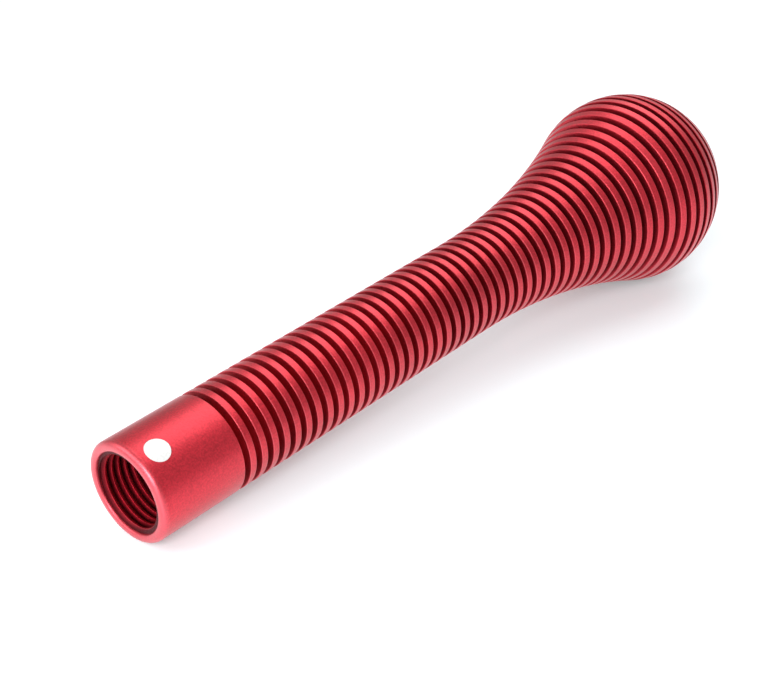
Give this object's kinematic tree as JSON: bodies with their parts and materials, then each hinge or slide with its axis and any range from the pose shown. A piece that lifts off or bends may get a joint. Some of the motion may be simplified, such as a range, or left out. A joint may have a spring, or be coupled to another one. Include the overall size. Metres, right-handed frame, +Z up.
{
  "type": "gear lever knob",
  "caption": "Tall turned knob for a gear lever: plain collar, straight finned shaft flaring into a finned ball head, with a clamp adapter screwed into its mouth.",
  "frame": {"origin": "centre of the mouth's face, where the gear lever goes in", "axes": "+X along the turning axis from the mouth to the crown of the head, +Z up as the knob lies on its side"},
  "size_m": [0.1698, 0.0428, 0.0428],
  "materials": {
    "red_anodised": "satin, bead blasted and dyed red",
    "white_enamel": "semi-gloss enamel",
    "black_anodised": "satin, dyed black",
    "white_nylon": "matt nylon",
    "blackened_steel": "black oxide"
  },
  "bodies": {
    "knob": {"knob_body": "red_anodised", "index_mark": "white_enamel"},
    "sleeve": {"lever_sleeve": "white_nylon"},
    "adapter": {"lever_adapter": "black_anodised"},
    "grub_1": {"grub_screw_1": "blackened_steel"},
    "grub_2": {"grub_screw_2": "blackened_steel"},
    "grub_3": {"grub_screw_3": "blackened_steel"}
  },
  "joints": [
    {"name": "sleeve_slide", "type": "slide", "parent": "knob", "child": "sleeve", "axis": [-1, 0, 0], "range_m": [0, 0.0105]},
    {"name": "adapter_turn", "type": "hinge", "parent": "sleeve", "child": "adapter", "pos_m": [0.0208, 0, 0], "axis": [-1, 0, 0], "range_deg": [0, 2520]},
    {"name": "grub_1_out", "type": "slide", "parent": "adapter", "child": "grub_1", "axis": [0, -0.5, 0.866], "range_m": [0, 0.00025]},
    {"name": "grub_2_out", "type": "slide", "parent": "adapter", "child": "grub_2", "axis": [0, -0.5, -0.866], "range_m": [0, 0.00025]},
    {"name": "grub_3_out", "type": "slide", "parent": "adapter", "child": "grub_3", "axis": [0, 1, 0], "range_m": [0, 0.00025]}
  ],
  "couplings": [
    {"joint": "sleeve_slide", "follows": "adapter_turn", "m_per_rad": 0.00023873}
  ]
}
